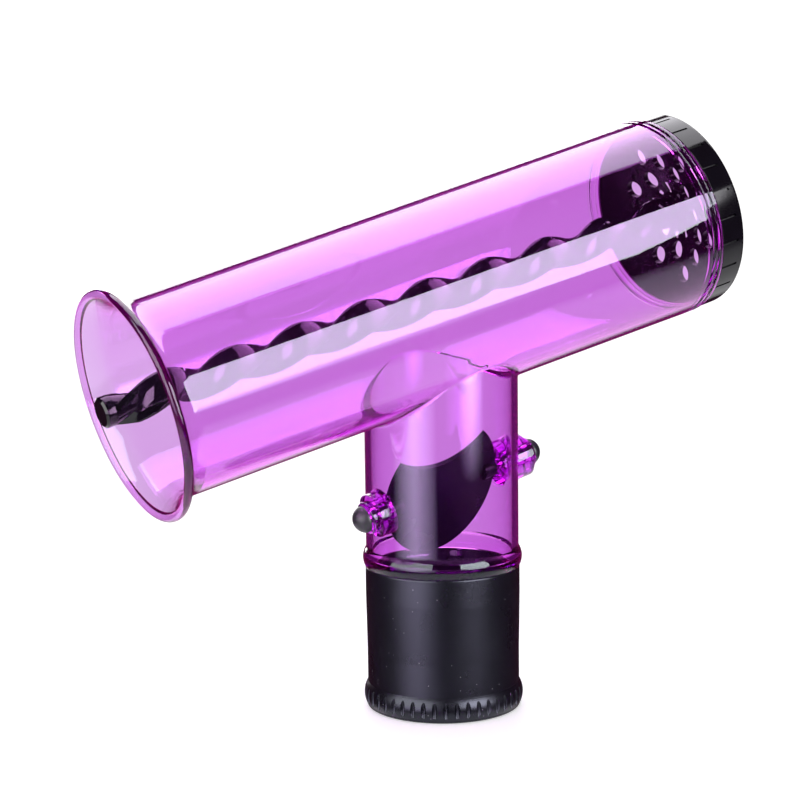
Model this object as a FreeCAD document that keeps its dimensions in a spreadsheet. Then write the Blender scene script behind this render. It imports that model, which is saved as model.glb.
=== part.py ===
"""Curl-tunnel dryer diffuser, in millimetres.

Frame: the origin is the centre of the grip collar's bottom face, +Z runs up the neck's axis.
The barrel's axis lies in the XZ plane: its mouth points to -X and its closed end to +X, raised by
barrel_tilt. Every piece on the barrel's axis is drawn with its own Z along that axis and its
own X pointing down, and is then placed at the point where the barrel's axis crosses the neck's.
"""
import FreeCAD, Part
import math
import os
import Sketcher

DIMENSIONS = [
    # barrel, on its own axis; reaches are measured from the neck's axis
    ("barrel_tilt", 14.4), ("barrel_height", 143.8), ("barrel_radius", 35.0), ("barrel_wall", 2.2),
    ("barrel_taper", 0.0155), ("mouth_reach", 118.2), ("mouth_radius", 37.45), ("bead_radius", 1.5),
    ("flare_length", 8.0), ("socket_reach", 91.0), ("socket_radius", 33.6), ("shoulder_reach", 96.2),
    ("spigot_reach", 101.2), ("spigot_radius", 34.9), ("ridge_depth", 0.6), ("ridge_width", 1.3),
    # lock ring and dish
    ("ring_front", 96.5), ("ring_rear", 106.7), ("ring_radius", 36.0), ("ring_bore", 35.2),
    ("lip_front", 103.0), ("lip_bore", 31.5), ("ring_round", 1.3), ("pad_count", 24),
    ("groove_width", 0.9), ("groove_depth", 0.6), ("groove_length", 7.2),
    ("dish_front", 96.6), ("dish_radius", 33.3), ("dish_wall", 1.3), ("dish_depth", 7.4),
    ("flange_front", 101.5), ("flange_radius", 34.9), ("flange_thickness", 1.2),
    ("hub_radius", 6.6), ("hub_height", 3.0), ("big_hole", 3.15), ("small_hole", 1.0),
    # rod
    ("rod_reach", 129.3), ("rod_lobe", 0.9), ("rod_offset", 5.8), ("rod_pitch", 76.0),
    ("rod_hollow", 0.7), ("rod_phase", 36.0), ("tip_radius", 5.1), ("tip_round", 0.7),
    ("tip_length", 3.5), ("tip_blend", 8.0), ("rod_lean", 0.5), ("screw_radius", 1.5), ("screw_length", 12.0),
    ("screw_head", 3.2), ("head_height", 1.8), ("washer_radius", 4.4), ("washer_thickness", 0.8),
    # neck and collar
    ("neck_radius", 26.65), ("neck_bore", 24.5), ("collar_height", 50.0), ("collar_radius", 26.95),
    ("foot_height", 6.6), ("foot_bulge", 0.95), ("stop_height", 34.0), ("plug_radius", 25.4),
    ("plug_bore", 22.9), ("nozzle_radius", 24.0), ("collar_edge", 0.9), ("saddle_round", 1.2),
    ("band_height", 8.2), ("band_bulge", 0.95),
    ("flute_count", 45), ("flute_reach", 1.1), ("flute_radial", 2.0), ("flute_half_width", 1.1),
    ("flute_half_height", 5.0), ("flute_height", 4.7),
    # deflector and its pivots
    ("hinge_height", 76.9), ("boss_radius", 7.7), ("boss_left", 29.0), ("boss_right", 34.5),
    ("pad_radius", 8.0), ("pad_face", 22.9), ("plug_hole", 5.0), ("lip_radius", 5.75),
    ("lip_length", 2.5), ("shaft_radius", 2.0), ("shaft_gap", 0.05), ("shaft_start", 17.0),
    ("knob_radius", 4.7), ("knob_rise", 4.2), ("knob_gap", 0.35), ("knob_grip", 2.6),
    ("flap_half_width", 22.5), ("flap_half_length", 27.6), ("flap_thickness", 1.8),
    ("flap_cut_radius", 24.7), ("flap_cut_reach", 11.5), ("flap_hub_radius", 3.3),
    ("flap_hub_length", 5.0), ("flap_tilt", 28.0),
]

# Air holes of the dish: radius on the dish and angle from its far side, each used on both sides
BIG_HOLES = [(18.0, 47), (14.0, 81), (22.9, 89), (20.2, 115), (18.2, 140), (25.4, 146), (15.4, 164)]
SMALL_CLUSTERS = [(16.9, 25), (20.4, 68), (27.4, 106), (26.8, 127), (24.0, 169)]
PETAL_COUNT = 10
PETAL_ANGLE = 21
PETAL_START = 7.6
PETAL_ENDS = (9.8, 11.8)
DISH_SIDE = 74.5  # where the pattern's mirror line leaves the dish's own X axis, in degrees


class Size:
    """A number together with the spreadsheet expression that gives it."""

    def __init__(self, value, text):
        self.value = float(value)
        self.text = text

    def _join(self, other, sign, value, turned=False):
        text = other.text if isinstance(other, Size) else repr(other)
        pair = (text, self.text) if turned else (self.text, text)
        return Size(value, "(%s %s %s)" % (pair[0], sign, pair[1]))

    def __add__(self, other):
        return self._join(other, "+", self.value + number(other))

    def __sub__(self, other):
        return self._join(other, "-", self.value - number(other))

    def __mul__(self, other):
        return self._join(other, "*", self.value * number(other))

    def __truediv__(self, other):
        return self._join(other, "/", self.value / number(other))

    def __radd__(self, other):
        return self._join(other, "+", number(other) + self.value, turned=True)

    def __rsub__(self, other):
        return self._join(other, "-", number(other) - self.value, turned=True)

    def __rmul__(self, other):
        return self._join(other, "*", number(other) * self.value, turned=True)

    def __neg__(self):
        return Size(-self.value, "(0 - %s)" % self.text)


def number(size):
    return size.value if isinstance(size, Size) else float(size)


class Sheet:
    """The driving dimensions, each also readable as an attribute."""

    def __init__(self, doc):
        table = doc.addObject("Spreadsheet::Sheet", "Dimensions")
        for row, (name, value) in enumerate(DIMENSIONS, start=1):
            table.set("A%d" % row, name)
            table.set("B%d" % row, str(value))
            table.setAlias("B%d" % row, name)
            setattr(self, name, Size(value, "Dimensions." + name))
        doc.recompute()


doc = FreeCAD.newDocument("diffuser")
dim = Sheet(doc)
ORIGIN = -1  # the sketch's own origin point, as Sketcher numbers it


def bind(thing, prop, size):
    """Set a property to a size, by expression where the size comes from the sheet."""
    if isinstance(size, Size):
        thing.setExpression(prop, size.text)
    else:
        setattr(thing, prop, size)


def place(thing, height, turn=0.0):
    """Stand a thing's Z along the barrel's direction at a height on the neck's axis."""
    tilt = FreeCAD.Rotation(FreeCAD.Vector(0, 1, 0), 90 - dim.barrel_tilt.value)
    spin = FreeCAD.Rotation(FreeCAD.Vector(0, 0, 1), turn)
    thing.Placement = FreeCAD.Placement(FreeCAD.Vector(0, 0, number(height)), tilt * spin)
    thing.setExpression("Placement.Base.z", height.text)
    if turn == 0.0:
        thing.setExpression("Placement.Rotation.Angle", "90 - Dimensions.barrel_tilt")


def plane_of(body, role):
    return next(item for item in body.Origin.OriginFeatures if item.Role == role)


def new_sketch(body, name, role):
    sketch = body.newObject("Sketcher::SketchObject", name)
    sketch.AttachmentSupport = [(plane_of(body, role), "")]
    sketch.MapMode = "FlatFace"
    return sketch


def arc_between(start, end, radius, bulge, large):
    """Arc from start to end that bulges to the right (+1) or left (-1) of that direction."""
    chord = end - start
    side = FreeCAD.Vector(chord.y, -chord.x, 0).normalize() * bulge
    drop = math.sqrt(radius ** 2 - (chord.Length / 2) ** 2)
    middle = (start + end) / 2
    centre = middle + side * drop if large else middle - side * drop
    return Part.Arc(start, centre + side * radius, end)


def arc_radius(chord, rise):
    """Radius of the arc that stands a given rise above its chord."""
    return chord * chord / (rise * 8.0) + rise / 2.0


def draw_profile(sketch, outline):
    """Closed outline of (x, y) corners; a third entry (radius, bulge, large) arcs to that corner."""
    points = [FreeCAD.Vector(number(entry[0]), number(entry[1]), 0) for entry in outline]
    ends = []
    for index, entry in enumerate(outline):
        start = points[index - 1]
        if len(entry) == 3:
            radius, bulge, large = entry[2]
            curve = arc_between(start, points[index], number(radius), bulge, large)
            edge = sketch.addGeometry(curve, False)
            constraint = sketch.addConstraint(Sketcher.Constraint("Radius", edge, number(radius)))
            if isinstance(radius, Size):
                sketch.setExpression("Constraints[%d]" % constraint, radius.text)
        else:
            edge = sketch.addGeometry(Part.LineSegment(start, points[index]), False)
        first = sketch.getPoint(edge, 1)
        forward = (first - start).Length < (first - points[index]).Length
        ends.append((edge, 1 if forward else 2, 2 if forward else 1))
    for index, entry in enumerate(outline):
        edge, _, finish = ends[index]
        following = ends[(index + 1) % len(ends)]
        sketch.addConstraint(Sketcher.Constraint("Coincident", edge, finish, following[0], following[1]))
        for kind, size in (("DistanceX", entry[0]), ("DistanceY", entry[1])):
            rule = Sketcher.Constraint(kind, ORIGIN, 1, edge, finish, number(size))
            constraint = sketch.addConstraint(rule)
            if isinstance(size, Size):
                sketch.setExpression("Constraints[%d]" % constraint, size.text)


def turned_body(name, outline):
    """Body turned about its own Z axis from an outline of (radius, height) corners."""
    body = doc.addObject("PartDesign::Body", name)
    sketch = new_sketch(body, name + "_profile", "XZ_Plane")
    draw_profile(sketch, outline)
    doc.recompute()
    turned = body.newObject("PartDesign::Revolution", name + "_turned")
    turned.Profile = sketch
    turned.ReferenceAxis = (sketch, ["V_Axis"])
    turned.Angle = 360
    body.Tip = turned
    doc.recompute()
    return body


def cylinder(name, radius, length, start=None):
    """Plain cylinder along its own Z; place() or a Placement puts it where it belongs."""
    solid = doc.addObject("Part::Cylinder", name)
    bind(solid, "Radius", radius)
    bind(solid, "Height", length)
    if start is not None:
        solid.setExpression("Placement.Base.z", start.text)
    return solid


def axis_cylinder(name, radius, start, end, height):
    """Cylinder on an axis along the barrel's direction, from one reach to another."""
    solid = cylinder(name, radius, end - start)
    tilt = "Dimensions.barrel_tilt"
    solid.Placement.Rotation = FreeCAD.Rotation(FreeCAD.Vector(0, 1, 0), 90 - dim.barrel_tilt.value)
    solid.setExpression("Placement.Rotation.Angle", "90 - " + tilt)
    solid.setExpression("Placement.Base.x", "%s * cos(%s * 1 deg)" % (start.text, tilt))
    solid.setExpression("Placement.Base.z", "%s + %s * sin(%s * 1 deg)" % (height.text, start.text, tilt))
    return solid


def combine(kind, name, base, *tools):
    """Cut, common or fuse of a base with one or more tools."""
    if kind == "Part::Cut" and len(tools) > 1:
        tools = (combine("Part::MultiFuse", name + "_tools", *tools),)
    result = doc.addObject(kind, name)
    if kind in ("Part::MultiFuse", "Part::MultiCommon"):
        result.Shapes = [base, *tools]
    else:
        result.Base = base
        result.Tool = tools[0]
    doc.recompute()
    return result


def outer_radius(reach):
    """Outer radius of the tapered barrel at a reach along its axis."""
    return dim.barrel_radius + dim.barrel_taper * reach


def make_barrel_tube():
    """Tapered clear tube: flared beaded mouth, two ridges and a spigot at the rear."""
    mouth = -dim.mouth_reach
    flare = mouth + dim.flare_length
    socket = dim.socket_reach
    step = dim.ridge_width
    rim = dim.bead_radius
    outline = [
        (outer_radius(flare) - dim.barrel_wall, flare + 1.0),
        (dim.mouth_radius - 1.3, mouth - 0.9, (dim.flare_length * 1.45, 1, False)),
        (dim.mouth_radius - 1.0, mouth + 1.0, (rim, 1, True)),
        (outer_radius(flare), flare, (dim.flare_length * 1.2, -1, False)),
        (outer_radius(socket), socket),
        (outer_radius(socket) - dim.ridge_depth, socket + 0.4),
        (outer_radius(socket) - dim.ridge_depth, socket + step),
        (outer_radius(socket), socket + step + 0.4),
        (outer_radius(socket), socket + step * 2),
        (outer_radius(socket) - dim.ridge_depth, socket + step * 2 + 0.4),
        (outer_radius(socket) - dim.ridge_depth, socket + step * 3 - 0.4),
        (outer_radius(socket), socket + step * 3),
        (outer_radius(socket), dim.shoulder_reach),
        (dim.spigot_radius, dim.shoulder_reach),
        (dim.spigot_radius, dim.spigot_reach),
        (dim.socket_radius, dim.spigot_reach),
        (dim.socket_radius, socket),
        (outer_radius(socket) - dim.barrel_wall, socket),
    ]
    tube = turned_body("barrel_tube", outline)
    place(tube, dim.barrel_height)
    doc.recompute()
    return tube


def make_wall_core():
    """Solid cone out to the middle of the barrel's wall, which ends the neck inside that wall."""
    half = dim.socket_reach
    inset = dim.barrel_wall / 2.0
    cone = doc.addObject("Part::Cone", "wall_core")
    bind(cone, "Radius1", outer_radius(-half) - inset)
    bind(cone, "Radius2", outer_radius(half) - inset)
    bind(cone, "Height", half * 2)
    tilt = "Dimensions.barrel_tilt"
    cone.Placement.Rotation = FreeCAD.Rotation(FreeCAD.Vector(0, 1, 0), 90 - dim.barrel_tilt.value)
    cone.setExpression("Placement.Rotation.Angle", "90 - " + tilt)
    cone.setExpression("Placement.Base.x", "0 - %s * cos(%s * 1 deg)" % (half.text, tilt))
    cone.setExpression("Placement.Base.z", "%s - %s * sin(%s * 1 deg)"
                       % (dim.barrel_height.text, half.text, tilt))
    return cone


def make_neck_blank():
    """Outside of the neck: plug in the collar, foot bead and plain tube up into the barrel's wall."""
    foot = dim.collar_height
    top = foot + dim.foot_height
    bulge = arc_radius(dim.foot_height, dim.foot_bulge)
    upper = dim.barrel_height
    outline = [
        (0, upper),
        (0, dim.stop_height),
        (dim.plug_radius, dim.stop_height),
        (dim.plug_radius, foot),
        (dim.collar_radius + 0.1, foot),
        (dim.neck_radius, top, (bulge, 1, False)),
        (dim.neck_radius, upper),
    ]
    blank = turned_body("neck_blank", outline)
    return combine("Part::Cut", "neck_outside", blank, make_wall_core())


def make_neck_core():
    """Hollow of the neck, from its plug up into the barrel."""
    foot = dim.collar_height
    outline = [
        (0, dim.stop_height),
        (dim.plug_bore, dim.stop_height),
        (dim.plug_bore, foot - 2.0),
        (dim.neck_bore, foot + 3.0),
        (dim.neck_bore, dim.barrel_height),
        (0, dim.barrel_height),
    ]
    return turned_body("neck_core", outline)


def saddle_edges(shape):
    """Numbers of the curved edges where the neck's outside meets the barrel."""
    found = []
    for index, edge in enumerate(shape.Edges, 1):
        points = edge.discretize(9)
        spread = max(point.z for point in points) - min(point.z for point in points)
        off = max(abs(math.hypot(point.x, point.y) - dim.neck_radius.value) for point in points)
        if off < 0.01 and spread > 1.0 and edge.Curve.TypeId != "Part::GeomLine":
            found.append(index)
    return found


def make_clear_body():
    """Barrel and neck in one moulding, with rounded saddle, pivot bosses and flat pads inside them."""
    height = dim.hinge_height
    outside = combine("Part::MultiFuse", "tee_outside", make_barrel_tube(), make_neck_blank())
    saddle = doc.addObject("Part::Fillet", "saddle")
    saddle.Base = outside
    saddle.Edges = [(index, dim.saddle_round.value, dim.saddle_round.value)
                    for index in saddle_edges(outside.Shape)]
    doc.recompute()
    hollow = combine("Part::Cut", "tee_hollow", saddle, make_neck_core())
    bosses = axis_cylinder("boss_bar", dim.boss_radius, -dim.boss_left, dim.boss_right, height)
    reach = dim.neck_radius + 4.0
    pads = axis_cylinder("pad_bar", dim.pad_radius, -reach, reach, height)
    shell = cylinder("pad_limit", dim.neck_bore + 0.6, dim.barrel_height)
    pads = combine("Part::MultiCommon", "pivot_pads", pads, shell)
    pivots = combine("Part::MultiFuse", "pivot_solid", bosses, pads)
    duct = axis_cylinder("pad_gap", dim.pad_radius + 1.0, -dim.pad_face, dim.pad_face, height)
    pivots = combine("Part::Cut", "pivot_bosses", pivots, duct)
    whole = combine("Part::MultiFuse", "tee_whole", hollow, pivots)
    holes = axis_cylinder("plug_holes", dim.plug_hole, dim.boss_left * -2.0, dim.boss_right * 2.0, height)
    return combine("Part::Cut", "clear_body", whole, holes)


def make_collar():
    """Rubber sleeve: nozzle socket below, seat for the neck's plug above, fluted foot band."""
    band = dim.band_height
    waist = dim.collar_radius - 0.35
    edge = dim.collar_edge
    outline = [
        (dim.nozzle_radius, 0),
        (dim.collar_radius - edge, 0),
        (dim.collar_radius, edge, (edge, 1, False)),
        (dim.collar_radius, band, (arc_radius(band - edge, dim.band_bulge), 1, False)),
        (waist, band + 0.6),
        (waist, dim.collar_height * 0.4),
        (dim.collar_radius, dim.collar_height * 0.8),
        (dim.collar_radius, dim.collar_height - edge),
        (dim.collar_radius - edge, dim.collar_height, (edge, 1, False)),
        (dim.plug_radius, dim.collar_height),
        (dim.plug_radius, dim.stop_height),
        (dim.nozzle_radius, dim.stop_height),
    ]
    sleeve = turned_body("collar_sleeve", outline)
    flutes = []
    reach = dim.collar_radius + dim.band_bulge + dim.flute_reach
    for index in range(int(dim.flute_count.value)):
        flute = doc.addObject("Part::Ellipsoid", "flute_%02d" % index)
        bind(flute, "Radius1", dim.flute_half_height)
        bind(flute, "Radius2", dim.flute_radial)
        bind(flute, "Radius3", dim.flute_half_width)
        angle = 360 * index / dim.flute_count.value
        turn = FreeCAD.Rotation(FreeCAD.Vector(0, 0, 1), angle)
        spot = turn.multVec(FreeCAD.Vector(reach.value, 0, 0))
        spot.z = dim.flute_height.value
        flute.Placement = FreeCAD.Placement(spot, turn)
        flutes.append(flute)
    return combine("Part::Cut", "grip_collar", sleeve, *flutes)


def make_lock_ring():
    """Black ring on the barrel's rear end, with grip pads between narrow grooves."""
    front = dim.ring_front
    rear = dim.ring_rear
    edge = dim.ring_round
    outline = [
        (dim.ring_bore, front),
        (dim.ring_radius - 0.4, front),
        (dim.ring_radius, front + 0.4),
        (dim.ring_radius, rear - edge),
        (dim.ring_radius - edge, rear, (edge, 1, False)),
        (dim.lip_bore, rear),
        (dim.lip_bore, dim.lip_front),
        (dim.ring_bore, dim.lip_front),
    ]
    body = turned_body("lock_ring", outline)
    sketch = new_sketch(body, "groove_outline", "XY_Plane")
    sketch.AttachmentOffset = FreeCAD.Placement(FreeCAD.Vector(0, 0, front.value), FreeCAD.Rotation())
    sketch.setExpression("AttachmentOffset.Base.z", front.text)
    inner = dim.ring_radius - dim.groove_depth
    half = dim.groove_width / 2
    draw_profile(sketch, [(inner, -half), (inner + 2.0, -half), (inner + 2.0, half), (inner, half)])
    doc.recompute()
    groove = body.newObject("PartDesign::Pocket", "groove")
    groove.Profile = sketch
    bind(groove, "Length", dim.groove_length)
    groove.Reversed = True
    doc.recompute()
    pattern = body.newObject("PartDesign::PolarPattern", "grooves")
    pattern.Originals = [groove]
    pattern.Axis = (plane_of(body, "Z_Axis"), [""])
    pattern.Angle = 360
    pattern.setExpression("Occurrences", dim.pad_count.text)
    body.Tip = pattern
    place(body, dim.barrel_height)
    doc.recompute()
    return body


def add_circle(sketch, reach, angle, radius):
    spot = FreeCAD.Vector(reach * math.cos(angle), reach * math.sin(angle), 0)
    edge = sketch.addGeometry(Part.Circle(spot, FreeCAD.Vector(0, 0, 1), number(radius)), False)
    constraint = sketch.addConstraint(Sketcher.Constraint("Radius", edge, number(radius)))
    sketch.setExpression("Constraints[%d]" % constraint, radius.text)


def add_petal(sketch, angle, inner, outer):
    """Slot between two arcs about the hub."""
    half = math.radians(PETAL_ANGLE) / 2
    low = angle - half
    high = angle + half
    corners = [(inner, low), (outer, low), (outer, high), (inner, high)]
    spots = [FreeCAD.Vector(r * math.cos(a), r * math.sin(a), 0) for r, a in corners]
    for index, spot in enumerate(spots):
        sketch.addGeometry(Part.LineSegment(spot, spots[(index + 1) % 4]), False)
        first = sketch.GeometryCount - 1
        if index:
            sketch.addConstraint(Sketcher.Constraint("Coincident", first - 1, 2, first, 1))
    sketch.addConstraint(Sketcher.Constraint("Coincident", first, 2, first - 3, 1))


def draw_air_holes(sketch):
    """Petals around the hub, big holes and clusters of three small holes, in mirrored pairs."""
    side = math.radians(DISH_SIDE)
    for index in range(PETAL_COUNT):
        angle = side + 2 * math.pi * index / PETAL_COUNT
        add_petal(sketch, angle, PETAL_START, PETAL_ENDS[index % 2])
    for mirror in (1, -1):
        for reach, degrees in BIG_HOLES:
            add_circle(sketch, reach, side + mirror * math.radians(degrees), dim.big_hole)
        for reach, degrees in SMALL_CLUSTERS:
            middle = side + mirror * math.radians(degrees)
            for step in (0, 1, 2):
                turn = middle + math.radians(120 * step)
                x = reach * math.cos(middle) + 2.0 * math.cos(turn)
                y = reach * math.sin(middle) + 2.0 * math.sin(turn)
                add_circle(sketch, math.hypot(x, y), math.atan2(y, x), dim.small_hole)


def make_air_dish():
    """Black bowl with a flange behind, a hub for the rod and a pattern of air holes."""
    front = dim.dish_front
    rim = dim.dish_radius
    wall = dim.dish_wall
    deep = front + dim.dish_depth
    bow = (dim.dish_depth.value ** 2 + rim.value ** 2) / (2 * dim.dish_depth.value)
    hub = dim.hub_radius
    outline = [
        (0, deep),
        (4.2, deep),
        (4.2, deep - dim.hub_height + 1.0),
        (hub, deep - dim.hub_height + 1.0),
        (hub, deep - 0.3),
        (rim - 0.9, front, (bow, 1, False)),
        (rim, front),
        (rim, dim.flange_front),
        (dim.flange_radius, dim.flange_front),
        (dim.flange_radius, dim.flange_front + dim.flange_thickness),
        (rim - wall - 1.2, dim.flange_front + dim.flange_thickness),
        (rim - wall - 1.2, front + wall + 1.5),
        (hub, deep + wall, (bow, -1, False)),
        (0, deep + wall),
    ]
    body = turned_body("dish_bowl", outline)
    place(body, dim.barrel_height)
    tool = doc.addObject("PartDesign::Body", "air_holes")
    sketch = new_sketch(tool, "air_hole_outline", "XY_Plane")
    draw_air_holes(sketch)
    doc.recompute()
    pad = tool.newObject("PartDesign::Pad", "air_hole_pins")
    pad.Profile = sketch
    bind(pad, "Length", dim.ring_rear + 10.0)
    tool.Tip = pad
    place(tool, dim.barrel_height)
    doc.recompute()
    screw_hole = axis_cylinder("dish_screw_hole", dim.screw_radius, front, dim.ring_rear + 10.0,
                               dim.barrel_height)
    return combine("Part::Cut", "air_dish", body, tool, screw_hole)


def rod_section(reach):
    """Wire of the rod's three-cornered section: three small lobes joined by hollow flanks."""
    lobe = dim.rod_lobe.value
    offset = dim.rod_offset.value
    third = 2 * math.pi / 3
    edges = []
    for index in range(3):
        angle = third * index
        middle = FreeCAD.Vector(offset * math.cos(angle), offset * math.sin(angle), reach)
        arc = [middle + FreeCAD.Vector(lobe * math.cos(a), lobe * math.sin(a), 0)
               for a in (angle - third / 2, angle, angle + third / 2)]
        edges.append(Part.Arc(*arc).toShape())
        after = angle + third
        following = FreeCAD.Vector(offset * math.cos(after), offset * math.sin(after), reach)
        end = following + FreeCAD.Vector(lobe * math.cos(after - third / 2),
                                         lobe * math.sin(after - third / 2), 0)
        flank = angle + third / 2
        low = offset * math.cos(third / 2) + lobe - dim.rod_hollow.value
        bottom = FreeCAD.Vector(low * math.cos(flank), low * math.sin(flank), reach)
        edges.append(Part.Arc(arc[2], bottom, end).toShape())
    return Part.Wire(edges)


def rod_turned(start, outline):
    """Solid turned about the rod's axis from a closed outline of (radius, height above start)."""
    spots = [FreeCAD.Vector(radius, 0, start + height) for radius, height in outline]
    wire = Part.makePolygon(spots + spots[:1])
    return Part.Face(wire).revolve(FreeCAD.Vector(0, 0, start), FreeCAD.Vector(0, 0, 1), 360)


def make_curl_rod():
    """Left-hand twisted rod with a round tip that blends into the twist and a round foot."""
    start = -dim.rod_reach.value
    end = dim.dish_front.value + dim.dish_depth.value - dim.hub_height.value
    spine = Part.Wire(Part.makeLine(FreeCAD.Vector(0, 0, start), FreeCAD.Vector(0, 0, end)))
    helix = Part.makeHelix(dim.rod_pitch.value, end - start, dim.rod_offset.value, 0, True)
    helix.translate(FreeCAD.Vector(0, 0, start))
    shell = Part.BRepOffsetAPI.MakePipeShell(spine)
    shell.setAuxiliarySpine(helix, True, 0)
    shell.add(rod_section(start))
    shell.build()
    shell.makeSolid()
    twisted = shell.shape()
    reach = dim.rod_offset.value + dim.rod_lobe.value + 0.05
    tip = dim.tip_radius.value
    edge = dim.tip_round.value
    straight = dim.tip_length.value
    blend = dim.tip_blend.value
    flank = dim.rod_offset.value / 2 + dim.rod_lobe.value - dim.rod_hollow.value
    envelope = rod_turned(start, [(0, 0), (tip - edge, 0), (tip, edge), (tip, straight),
                                  (reach, straight + blend), (reach, end - start), (0, end - start)])
    core = rod_turned(start, [(0, 0), (tip - edge, 0), (tip, edge), (tip, straight),
                              (flank, straight + blend), (0, straight + blend)])
    rod = twisted.common(envelope).fuse(core)
    rod.rotate(FreeCAD.Vector(0, 0, end), FreeCAD.Vector(0, 1, 0), dim.rod_lean.value)
    foot_radius = dim.hub_radius.value - 2.4
    foot = Part.makeCylinder(foot_radius, dim.hub_height.value, FreeCAD.Vector(0, 0, end))
    rod = rod.fuse(foot)
    bore_start = end + dim.hub_height.value - dim.screw_length.value
    bore = Part.makeCylinder(dim.screw_radius.value, dim.screw_length.value + 1,
                             FreeCAD.Vector(0, 0, bore_start))
    rod = rod.cut(bore)
    piece = doc.addObject("Part::Feature", "curl_rod")
    piece.Shape = rod.Solids[0]
    place(piece, dim.barrel_height, dim.rod_phase.value)
    return piece


def make_rod_screw():
    """Pan-head screw that draws the rod's foot into the dish."""
    seat = dim.dish_front + dim.dish_depth + dim.dish_wall + dim.washer_thickness
    shank = seat - dim.washer_thickness - dim.dish_wall - dim.screw_length
    head = dim.head_height
    outline = [
        (0, shank),
        (dim.screw_radius - 0.5, shank),
        (dim.screw_radius, shank + 1.5),
        (dim.screw_radius, seat),
        (dim.screw_head, seat),
        (dim.screw_head, seat + head * 0.4),
        (dim.screw_head * 0.55, seat + head, (head * 1.5, 1, False)),
        (0, seat + head),
    ]
    body = turned_body("screw_blank", outline)
    place(body, dim.barrel_height)
    slots = []
    for index in (0, 1):
        slot = doc.addObject("Part::Box", "drive_slot_%d" % index)
        slot.Length = 3.0 if index else 0.8
        slot.Width = 0.8 if index else 3.0
        bind(slot, "Height", head)
        tilt = FreeCAD.Rotation(FreeCAD.Vector(0, 1, 0), 90 - dim.barrel_tilt.value)
        corner = FreeCAD.Vector(-slot.Length.Value / 2, -slot.Width.Value / 2, (seat + head * 0.45).value)
        base = FreeCAD.Vector(0, 0, dim.barrel_height.value) + tilt.multVec(corner)
        slot.Placement = FreeCAD.Placement(base, tilt)
        slots.append(slot)
    return combine("Part::Cut", "rod_screw", body, *slots)


def make_rod_washer():
    """Flat washer between the screw's head and the back of the dish."""
    seat = dim.dish_front + dim.dish_depth + dim.dish_wall
    outline = [
        (dim.screw_radius + 0.1, seat),
        (dim.washer_radius, seat),
        (dim.washer_radius, seat + dim.washer_thickness),
        (dim.screw_radius + 0.1, seat + dim.washer_thickness),
    ]
    body = turned_body("rod_washer", outline)
    place(body, dim.barrel_height)
    return body


def make_flap():
    """Elliptical plate with a concave upper edge and a short hub at each end of its hinge."""
    plate = doc.addObject("Part::Ellipse", "flap_outline")
    bind(plate, "MajorRadius", dim.flap_half_length)
    bind(plate, "MinorRadius", dim.flap_half_width)
    doc.recompute()
    slab = doc.addObject("Part::Extrusion", "flap_slab")
    slab.Base = plate
    slab.Dir = FreeCAD.Vector(0, 0, 1)
    bind(slab, "LengthFwd", dim.flap_thickness)
    slab.Solid = True
    doc.recompute()
    cut = cylinder("flap_cut", dim.flap_cut_radius, dim.flap_thickness * 3)
    cut.setExpression("Placement.Base.x", "0 - %s" % (dim.flap_cut_reach + dim.flap_cut_radius).text)
    cut.setExpression("Placement.Base.z", "0 - %s" % dim.flap_thickness.text)
    trimmed = combine("Part::Cut", "flap_plate", slab, cut)
    # the plate is drawn flat with its hinge along Y, then stood up with the hinge along Z
    trimmed.Placement = FreeCAD.Placement(
        FreeCAD.Vector(0, dim.flap_thickness.value / 2, 0), FreeCAD.Rotation(FreeCAD.Vector(1, 0, 0), 90))
    hubs = []
    for side in (-1, 1):
        outer = dim.flap_half_width - 0.4
        hub = cylinder("flap_hub_%s" % ("left" if side < 0 else "right"), dim.flap_hub_radius,
                       dim.flap_hub_length)
        start = outer - dim.flap_hub_length if side > 0 else -outer
        hub.setExpression("Placement.Base.z", start.text)
        hubs.append(hub)
    solid = combine("Part::MultiFuse", "flap_solid", trimmed, *hubs)
    bores = []
    for side in (-1, 1):
        bore = cylinder("flap_bore_%s" % ("left" if side < 0 else "right"), dim.shaft_radius, dim.knob_rise * 2)
        start = dim.shaft_start if side > 0 else -dim.shaft_start - dim.knob_rise * 2
        bore.setExpression("Placement.Base.z", start.text)
        bores.append(bore)
    flap = combine("Part::Cut", "deflector_flap", solid, *bores)
    place(flap, dim.hinge_height, dim.flap_tilt.value)
    return flap


def make_pivot(name, side, boss):
    """Stub shaft from the flap's hub out to the knob."""
    tip = boss + dim.lip_length + dim.knob_gap + dim.knob_grip
    start = dim.shaft_start if side > 0 else -tip
    body = doc.addObject("PartDesign::Body", name)
    sketch = new_sketch(body, name + "_outline", "XY_Plane")
    sketch.setExpression("AttachmentOffset.Base.z", start.text)
    edge = sketch.addGeometry(Part.Circle(FreeCAD.Vector(), FreeCAD.Vector(0, 0, 1),
                                          dim.shaft_radius.value), False)
    sketch.addConstraint(Sketcher.Constraint("Coincident", edge, 3, ORIGIN, 1))
    radius = sketch.addConstraint(Sketcher.Constraint("Radius", edge, dim.shaft_radius.value))
    sketch.setExpression("Constraints[%d]" % radius, dim.shaft_radius.text)
    doc.recompute()
    pad = body.newObject("PartDesign::Pad", name + "_shaft")
    pad.Profile = sketch
    bind(pad, "Length", tip - dim.shaft_start)
    body.Tip = pad
    place(body, dim.hinge_height)
    doc.recompute()
    return body


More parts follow.
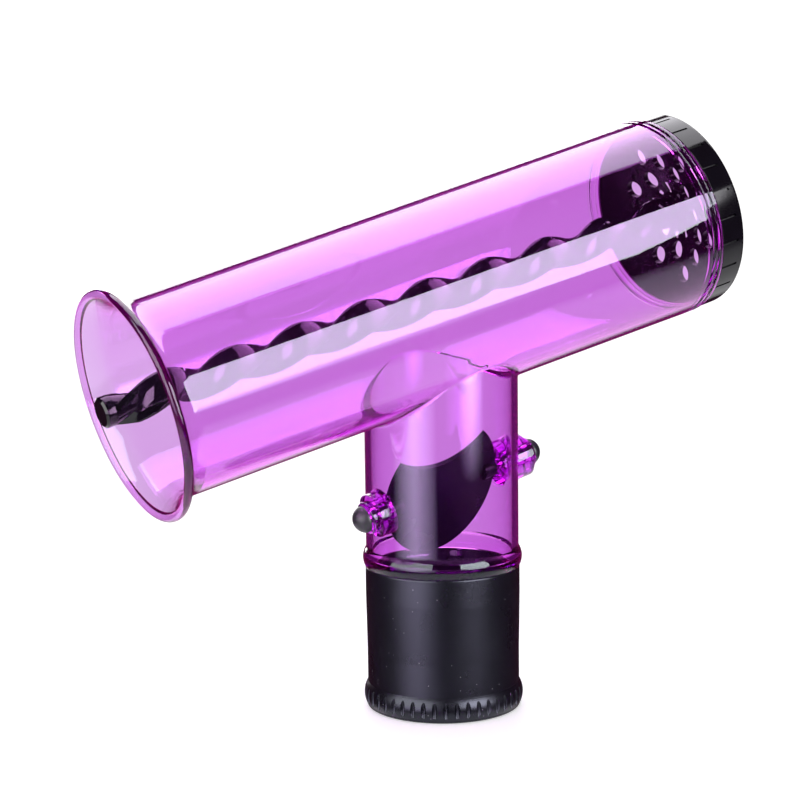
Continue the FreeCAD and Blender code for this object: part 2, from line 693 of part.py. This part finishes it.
def make_bushing(name, side, boss):
    """Clear plug through a boss, with a lip outside it and a running bore for the shaft."""
    inner = dim.pad_face
    bore = dim.shaft_radius + dim.shaft_gap
    end = boss + dim.lip_length
    round_edge = dim.lip_length * 0.3
    outline = [
        (bore, inner * side),
        (dim.plug_hole, inner * side),
        (dim.plug_hole, boss * side),
        (dim.lip_radius, boss * side),
        (dim.lip_radius, (end - round_edge) * side),
        (dim.lip_radius - round_edge, end * side, (round_edge, side, False)),
        (bore, end * side),
    ]
    body = turned_body(name, outline)
    place(body, dim.hinge_height)
    return body


def make_knob(name, side, boss):
    """Domed cap pressed on the end of a stub shaft."""
    base = boss + dim.lip_length + dim.knob_gap
    radius = dim.knob_radius
    rise = dim.knob_rise
    dome = (radius.value ** 2 + (rise.value - 0.6) ** 2) / (2 * (rise.value - 0.6))
    outline = [
        (dim.shaft_radius, base * side),
        (radius, base * side),
        (radius, (base + 0.6) * side),
        (0, (base + rise) * side, (dome, side, False)),
        (0, (base + dim.knob_grip) * side),
        (dim.shaft_radius, (base + dim.knob_grip) * side),
    ]
    body = turned_body(name, outline)
    place(body, dim.hinge_height)
    return body


def build_all():
    pieces = [
        make_clear_body(), make_collar(), make_lock_ring(), make_air_dish(),
        make_curl_rod(), make_rod_screw(), make_rod_washer(), make_flap(),
    ]
    for label, side, boss in (("left", -1, dim.boss_left), ("right", 1, dim.boss_right)):
        pieces.append(make_pivot("pivot_" + label, side, boss))
        pieces.append(make_bushing("bushing_" + label, side, boss))
        pieces.append(make_knob("knob_" + label, side, boss))
    doc.recompute()
    return pieces


def check_and_write(pieces):
    for thing in doc.Objects:
        bad = [state for state in thing.State if state in ("Invalid", "Error")]
        if bad:
            raise RuntimeError("%s is %s" % (thing.Name, bad))
    os.makedirs("parts", exist_ok=True)
    for piece in pieces:
        piece.Label = piece.Name
        shape = piece.Shape
        if shape.isNull() or not shape.isValid() or not shape.Solids:
            raise RuntimeError("%s has no valid shape" % piece.Label)
        shape.exportStep("parts/%s.step" % piece.Label)
        print("%-16s solids %d  volume %.1f mm3" % (piece.Label, len(shape.Solids), shape.Volume))


check_and_write(build_all())
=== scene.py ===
import math

import bpy
from mathutils import Matrix, Vector

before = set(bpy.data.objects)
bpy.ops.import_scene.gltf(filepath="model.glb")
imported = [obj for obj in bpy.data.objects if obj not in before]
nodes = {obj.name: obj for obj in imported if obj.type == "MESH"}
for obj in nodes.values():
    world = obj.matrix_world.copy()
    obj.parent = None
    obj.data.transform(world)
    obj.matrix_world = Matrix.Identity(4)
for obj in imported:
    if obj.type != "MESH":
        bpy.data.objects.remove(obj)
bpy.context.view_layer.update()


# ---------------------------------------------------------------- camera
# The view's azimuth, downward pitch and roll in degrees, and where the frame's origin
# lies from the camera: to the right, up and ahead, in metres.
VIEW_AZIMUTH = 30.206
VIEW_PITCH = 7.573
VIEW_ROLL = -0.734
ORIGIN_RIGHT = 0.015499
ORIGIN_UP = -0.106634
ORIGIN_AHEAD = 0.692739
LENS = 88.22
SENSOR_WIDTH = 36
NEAREST_SEEN = 0.05
FARTHEST_SEEN = 20


def make_camera():
    azimuth, pitch, roll = (math.radians(a) for a in (VIEW_AZIMUTH, VIEW_PITCH, VIEW_ROLL))
    ahead = Vector((math.sin(azimuth) * math.cos(pitch),
                    math.cos(azimuth) * math.cos(pitch),
                    -math.sin(pitch)))
    level = Vector((math.cos(azimuth), -math.sin(azimuth), 0))
    upright = level.cross(ahead)
    right = level * math.cos(roll) + upright * math.sin(roll)
    up = right.cross(ahead)
    place = -(right * ORIGIN_RIGHT + up * ORIGIN_UP + ahead * ORIGIN_AHEAD)
    data = bpy.data.cameras.new("camera")
    data.lens = LENS
    data.sensor_width = SENSOR_WIDTH
    data.clip_start = NEAREST_SEEN
    data.clip_end = FARTHEST_SEEN
    camera = bpy.data.objects.new("camera", data)
    bpy.context.scene.collection.objects.link(camera)
    turn = Matrix((right, up, -ahead)).transposed().to_4x4()
    camera.matrix_world = Matrix.Translation(place) @ turn
    bpy.context.scene.camera = camera


# ---------------------------------------------------------------- node helpers
# Places of a Mix node's sockets when it mixes colours; their names are shared with other sockets.
MIX_FACTOR = 0
MIX_FIRST = 6
MIX_SECOND = 7
MIX_RESULT = 2


class Graph:
    """A node tree, with short ways to add and join its nodes."""

    def __init__(self, tree):
        self.tree = tree
        tree.nodes.clear()

    def add(self, kind, **values):
        """Adds a node; each value goes to the input of that name, or else to the node's property."""
        node = self.tree.nodes.new(kind)
        for key, value in values.items():
            name = key.replace("_", " ")
            if name in node.inputs:
                self.feed(node.inputs[name], value)
            else:
                setattr(node, key, value)
        return node

    def feed(self, socket, value):
        if isinstance(value, bpy.types.NodeSocket):
            self.tree.links.new(value, socket)
        else:
            socket.default_value = value

    def place(self, scale=(1, 1, 1), turn=(0, 0, 0)):
        """Object coordinates, stretched and turned."""
        coords = self.add("ShaderNodeTexCoord").outputs["Object"]
        mapping = self.add("ShaderNodeMapping", Vector=coords)
        mapping.inputs["Scale"].default_value = scale
        mapping.inputs["Rotation"].default_value = turn
        return mapping.outputs["Vector"]

    def noise(self, scale, detail=3, rough=0.5, where=None):
        where = where or self.place()
        node = self.add("ShaderNodeTexNoise", Vector=where, Scale=scale, Detail=detail, Roughness=rough)
        return node.outputs["Fac"]

    def remap(self, value, low, high, start=0.3, end=0.7):
        """Goes from low to high while the value goes from start to end."""
        node = self.add("ShaderNodeMapRange", Value=value)
        node.inputs["From Min"].default_value = start
        node.inputs["From Max"].default_value = end
        node.inputs["To Min"].default_value = low
        node.inputs["To Max"].default_value = high
        return node.outputs["Result"]

    def mix(self, factor, first, second):
        node = self.add("ShaderNodeMix", data_type="RGBA")
        self.feed(node.inputs[MIX_FACTOR], factor)
        self.feed(node.inputs[MIX_FIRST], first)
        self.feed(node.inputs[MIX_SECOND], second)
        return node.outputs[MIX_RESULT]

    def maths(self, operation, first, second=0.0):
        node = self.add("ShaderNodeMath", operation=operation)
        self.feed(node.inputs[0], first)
        self.feed(node.inputs[1], second)
        return node.outputs[0]

    def bump(self, height, strength, distance, normal=None):
        node = self.add("ShaderNodeBump", Height=height, Strength=strength, Distance=distance)
        if normal is not None:
            self.feed(node.inputs["Normal"], normal)
        return node.outputs["Normal"]


def material(name):
    made = bpy.data.materials.new(name)
    made.use_nodes = True
    return made, Graph(made.node_tree)


def finish_surface(graph, **values):
    """Adds the surface shader with these values, and the material's output."""
    shader = graph.add("ShaderNodeBsdfPrincipled", **values)
    out = graph.add("ShaderNodeOutputMaterial", Surface=shader.outputs[0])
    return shader, out


def dress(made, *names):
    """Puts a material on every slot of the CAD nodes, whose shape stays as it is."""
    for name in names:
        slots = nodes[name].material_slots
        if not len(slots):
            nodes[name].data.materials.append(made)
        for slot in slots:
            slot.material = made


# ---------------------------------------------------------------- materials
BARREL_TILT = math.radians(14.4)
ALONG_BARREL = (0.08, 1, 1)
CLEAR_PIECES = ("clear_body", "bushing_left", "bushing_right")
CLEAR_TINT = (0.96, 1.0, 1.0, 1)
CLEAR_CLOUDED = (0.93, 0.98, 0.98, 1)
MIRROR_TINT = (0.85, 1.0, 0.97, 1)
EDGE_MAROON = (1.0, 0.03, 0.42, 1)
DYE = (0.913, 0.029, 0.948, 1)
DYE_DENSITY = 310


def clear_plastic():
    """Tinted clear plastic with fine scuffs along the barrel.

    The dye takes out green most, so thick edges go deep magenta. The sheen stands in for light
    that scatters inside the edges.
    """
    made, g = material("clear_purple_plastic")
    along = g.place(scale=ALONG_BARREL, turn=(0, BARREL_TILT, 0))
    scuffs = g.noise(900, detail=4, rough=0.7, where=along)
    clouds = g.noise(22, detail=2)
    rough = g.maths("ADD", g.remap(scuffs, 0.0, 0.03, 0.62, 0.8), g.remap(clouds, 0.01, 0.025))
    waves = g.noise(38, detail=1)
    normal = g.bump(waves, 0.06, 0.0006)
    colour = g.mix(g.remap(clouds, 0, 1), CLEAR_TINT, CLEAR_CLOUDED)
    shader, out = finish_surface(g, Base_Color=colour, Roughness=rough, Normal=normal,
                                 IOR=1.49, Transmission_Weight=1.0,
                                 Specular_Tint=MIRROR_TINT,
                                 Sheen_Weight=0.22, Sheen_Roughness=0.3,
                                 Sheen_Tint=EDGE_MAROON)
    depth = g.add("ShaderNodeVolumeAbsorption", Color=DYE, Density=DYE_DENSITY)
    g.feed(out.inputs["Volume"], depth.outputs[0])
    return made


PLAIN_BLACK = (0.0028, 0.0024, 0.0042)
DISH_BLACK = (0.0015, 0.0010, 0.0020)
FLAP_BLACK = (0.0025, 0.0012, 0.0065)
KNOB_BLACK = (0.012, 0.011, 0.017)
FLOW_MARK_GAIN = 1.9


def gloss_black(name, low, high, tint=PLAIN_BLACK, sheen=0.5):
    """Moulded black plastic with faint flow marks and orange peel, between two roughnesses."""
    made, g = material(name)
    clouds = g.noise(45, detail=3)
    peel = g.noise(900, detail=2)
    dark = (*tint, 1)
    pale = (*(part * FLOW_MARK_GAIN for part in tint), 1)
    normal = g.bump(peel, 0.02, 0.0001)
    finish_surface(g, Base_Color=g.mix(g.remap(clouds, 0, 1), dark, pale),
                   Roughness=g.remap(clouds, low, high), Normal=normal, IOR=1.5,
                   Specular_IOR_Level=sheen)
    return made


RUBBER_DARK = (0.0022, 0.0024, 0.0062, 1)
RUBBER_RUBBED = (0.0036, 0.0038, 0.0088, 1)
RUBBER_MIRROR_TINT = (0.80, 0.83, 1.0, 1)
DUST = (0.30, 0.29, 0.33, 1)
DUST_CELLS = 400.0
DUST_SIZE = 0.07
DUST_SHARE_LEFT_OUT = 0.3
DUST_STRENGTH = 0.8


def rubber():
    """Soft black sleeve with fine grain, fine dust specks and a slightly rubbed look."""
    made, g = material("collar_rubber")
    grain = g.noise(3200, detail=2, rough=0.7)
    patches = g.noise(60, detail=4)
    dots = g.add("ShaderNodeTexVoronoi", Vector=g.place(), Scale=DUST_CELLS, Randomness=1.0)
    near = g.maths("LESS_THAN", dots.outputs["Distance"], DUST_SIZE)
    chance = g.add("ShaderNodeSeparateColor", Color=dots.outputs["Color"]).outputs[0]
    kept = g.maths("GREATER_THAN", chance, DUST_SHARE_LEFT_OUT)
    speck = g.maths("MULTIPLY", g.maths("MULTIPLY", near, kept), DUST_STRENGTH)
    base = g.mix(g.remap(patches, 0, 1), RUBBER_DARK, RUBBER_RUBBED)
    colour = g.mix(speck, base, DUST)
    normal = g.bump(grain, 0.25, 0.00012, g.bump(patches, 0.06, 0.0006))
    finish_surface(g, Base_Color=colour, Roughness=g.remap(patches, 0.26, 0.31), Normal=normal, IOR=1.45,
                   Specular_IOR_Level=0.62, Specular_Tint=RUBBER_MIRROR_TINT)
    return made


STEEL_DARK = (0.55, 0.55, 0.57, 1)
STEEL_PALE = (0.72, 0.72, 0.73, 1)


def steel():
    """Plated steel with fine brushed marks."""
    made, g = material("plated_steel")
    lines = g.noise(1500, detail=3)
    finish_surface(g, Base_Color=g.mix(lines, STEEL_DARK, STEEL_PALE),
                   Metallic=1.0, Roughness=g.remap(lines, 0.22, 0.38), Normal=g.bump(lines, 0.1, 0.0001))
    return made


# ---------------------------------------------------------------- studio
def softbox(name, azimuth, low, high, distance, width, radiance, colour):
    """Upright softbox at an azimuth from the object, standing between two heights."""
    around = math.radians(azimuth)
    height = high - low
    data = bpy.data.lights.new(name, "AREA")
    data.shape = "RECTANGLE"
    data.size = width
    data.size_y = height
    data.energy = math.pi * width * height * radiance
    data.color = colour
    lamp = bpy.data.objects.new(name, data)
    bpy.context.scene.collection.objects.link(lamp)
    lamp.location = (math.sin(around) * distance, -math.cos(around) * distance, (low + high) / 2)
    facing = Vector((-lamp.location.x, -lamp.location.y, 0))
    lamp.rotation_mode = "QUATERNION"
    lamp.rotation_quaternion = facing.to_track_quat("-Z", "Y")
    hide_lamp(lamp)
    return lamp


def overhead(name, centre, size, radiance, colour):
    """Level softbox above the object, facing down."""
    data = bpy.data.lights.new(name, "AREA")
    data.shape = "RECTANGLE"
    data.size, data.size_y = size
    data.energy = math.pi * size[0] * size[1] * radiance
    data.color = colour
    lamp = bpy.data.objects.new(name, data)
    bpy.context.scene.collection.objects.link(lamp)
    lamp.location = centre
    hide_lamp(lamp)


def soften(data, side, foot, start, full):
    """Fades a lamp to nothing over a share of its width at either side, and towards its foot.

    The brightness is foot at the share start of its height, and whole from the share full up.
    """
    data.use_nodes = True
    g = Graph(data.node_tree)
    across = g.add("ShaderNodeSeparateXYZ", Vector=g.add("ShaderNodeNewGeometry").outputs["Parametric"])
    u, v = across.outputs[0], across.outputs[1]
    fade = g.remap(u, 0, 1, 0.0, side)
    fade = g.maths("MULTIPLY", fade, g.remap(u, 1, 0, 1.0 - side, 1.0))
    fade = g.maths("MULTIPLY", fade, g.remap(v, foot, 1.0, start, full))
    light = g.add("ShaderNodeEmission", Color=(1, 1, 1, 1), Strength=fade)
    g.add("ShaderNodeOutputLight", Surface=light.outputs[0])


def hide_lamp(lamp):
    """A lamp is mirrored in glossy surfaces but isn't seen directly, and soft light comes from the room."""
    lamp.visible_camera = False
    lamp.visible_diffuse = False


# The room's light as it is seen directly and by matt surfaces, as it is seen through clear
# plastic, as it is mirrored, and as a mirrored ray meets it on the far side of clear plastic.
BACKDROP = (1.15, 1.15, 1.15, 1)
BEHIND = (0.80, 0.80, 0.88, 1)
ROOM = (0.050, 0.010, 0.030, 1)
SIDES = (0.13, 0.035, 0.13, 1)


def make_world():
    """A white backdrop, which mirrored rays see as a dark room."""
    world = bpy.data.worlds.new("studio")
    bpy.context.scene.world = world
    world.use_nodes = True
    g = Graph(world.node_tree)
    rays = g.add("ShaderNodeLightPath")
    unmirrored = g.maths("LESS_THAN", rays.outputs["Glossy Depth"], 0.5)
    through = g.maths("MULTIPLY", rays.outputs["Is Transmission Ray"], unmirrored)
    white = g.maths("MAXIMUM", rays.outputs["Is Camera Ray"], rays.outputs["Is Diffuse Ray"])
    colour = g.mix(rays.outputs["Is Transmission Ray"], ROOM, SIDES)
    colour = g.mix(through, colour, BEHIND)
    colour = g.mix(white, colour, BACKDROP)
    shader = g.add("ShaderNodeBackground", Color=colour, Strength=1.0)
    g.add("ShaderNodeOutputWorld", Surface=shader.outputs[0])


FLOOR_INNER = 0.30
FLOOR_OUTER = 0.60
FLOOR_DROP = 0.0001
FLOOR_CORNERS = 128
FLOOR_COLOUR = (0.72, 0.72, 0.73, 1)
FLOOR_GLOW = 0.4
FADE_START = 0.48
FADE_END = 0.60


def make_floor():
    """Round pale table top that fades into the backdrop."""
    bpy.ops.mesh.primitive_circle_add(vertices=FLOOR_CORNERS, radius=FLOOR_OUTER, fill_type="NGON",
                                      location=(0, 0, -FLOOR_DROP))
    floor = bpy.context.active_object
    floor.name = "floor"
    made, g = material("pale_floor")
    coords = g.add("ShaderNodeTexCoord").outputs["Object"]
    distance = g.add("ShaderNodeVectorMath", operation="LENGTH")
    g.feed(distance.inputs[0], coords)
    edge = g.remap(distance.outputs["Value"], 0, 1, FLOOR_INNER, FLOOR_OUTER)
    # mirrored at a flat angle the table top gives way to the lamps, two of which reach below it
    mirrored = g.add("ShaderNodeLightPath").outputs["Is Glossy Ray"]
    facing = g.add("ShaderNodeLayerWeight", Blend=0.5).outputs["Facing"]
    shallow = g.remap(facing, 0, 1, FADE_START, FADE_END)
    edge = g.maths("MAXIMUM", edge, g.maths("MULTIPLY", mirrored, shallow))
    grain = g.remap(g.noise(900, detail=2), 0.50, 0.62)
    surface = g.add("ShaderNodeBsdfPrincipled", Base_Color=FLOOR_COLOUR, Roughness=grain,
                    Specular_IOR_Level=0.1, Emission_Color=(1, 1, 1, 1), Emission_Strength=FLOOR_GLOW)
    clear = g.add("ShaderNodeBsdfTransparent")
    both = g.add("ShaderNodeMixShader")
    g.feed(both.inputs[0], edge)
    g.feed(both.inputs[1], surface.outputs[0])
    g.feed(both.inputs[2], clear.outputs[0])
    g.add("ShaderNodeOutputMaterial", Surface=both.outputs[0])
    floor.data.materials.append(made)


WHITE = (1.0, 1.0, 1.0)
COOL = (0.96, 0.95, 1.0)
VIOLET = (0.90, 0.80, 1.0)
STAND = 1.2
REAR_STAND = 1.3


def make_lamps():
    """Softboxes at both sides, each over a strip that fades out, then one behind and one overhead."""
    softbox("softbox_right", azimuth=16, low=0.0, high=0.725, distance=STAND, width=0.97,
            radiance=10.2, colour=COOL)
    strip = softbox("strip_right", azimuth=15, low=-0.228, high=0.0, distance=STAND, width=0.86,
                    radiance=11.0, colour=VIOLET)
    soften(strip.data, side=0.45, foot=0.0, start=0.45, full=0.95)
    softbox("softbox_left", azimuth=-78, low=0.0, high=0.95, distance=STAND, width=1.5,
            radiance=5.0, colour=WHITE)
    strip = softbox("strip_left", azimuth=-72, low=-0.32, high=0.0, distance=STAND, width=1.7,
                    radiance=7.2, colour=VIOLET)
    soften(strip.data, side=0.5, foot=0.75, start=0.3, full=0.85)
    rear = softbox("softbox_rear", azimuth=160, low=0.0, high=0.9, distance=REAR_STAND, width=0.9,
                   radiance=4.0, colour=WHITE)
    rear.visible_transmission = False
    overhead("softbox_top", centre=(0.15, 0.45, 1.1), size=(1.7, 1.15), radiance=4.8, colour=COOL)


def dress_pieces():
    """Gives each CAD piece its material. The clear ones let the lamps reach what is inside them."""
    dress(clear_plastic(), *CLEAR_PIECES)
    for name in CLEAR_PIECES:
        nodes[name].visible_shadow = False
    dress(gloss_black("ring_black", 0.05, 0.09, sheen=0.28), "lock_ring")
    dress(gloss_black("dish_black", 0.05, 0.10, DISH_BLACK, 0.12), "air_dish")
    dress(gloss_black("rod_black", 0.05, 0.09, sheen=0.4), "curl_rod")
    dress(gloss_black("flap_black", 0.26, 0.32, FLAP_BLACK, 0.10), "deflector_flap")
    dress(gloss_black("knob_black", 0.34, 0.42, KNOB_BLACK), "knob_left", "knob_right")
    dress(rubber(), "grip_collar")
    dress(gloss_black("pin_black", 0.2, 0.3), "pivot_left", "pivot_right")
    dress(steel(), "rod_screw", "rod_washer")


CLEAR_BOUNCES = 24
MIRROR_BOUNCES = 8


def set_rendering():
    """Plain colours, and enough bounces for walls that are seen through one another."""
    scene = bpy.context.scene
    scene.view_settings.view_transform = "Standard"
    scene.cycles.max_bounces = CLEAR_BOUNCES
    scene.cycles.transmission_bounces = CLEAR_BOUNCES
    scene.cycles.transparent_max_bounces = CLEAR_BOUNCES
    scene.cycles.glossy_bounces = MIRROR_BOUNCES


make_camera()
make_world()
make_floor()
make_lamps()
dress_pieces()
set_rendering()
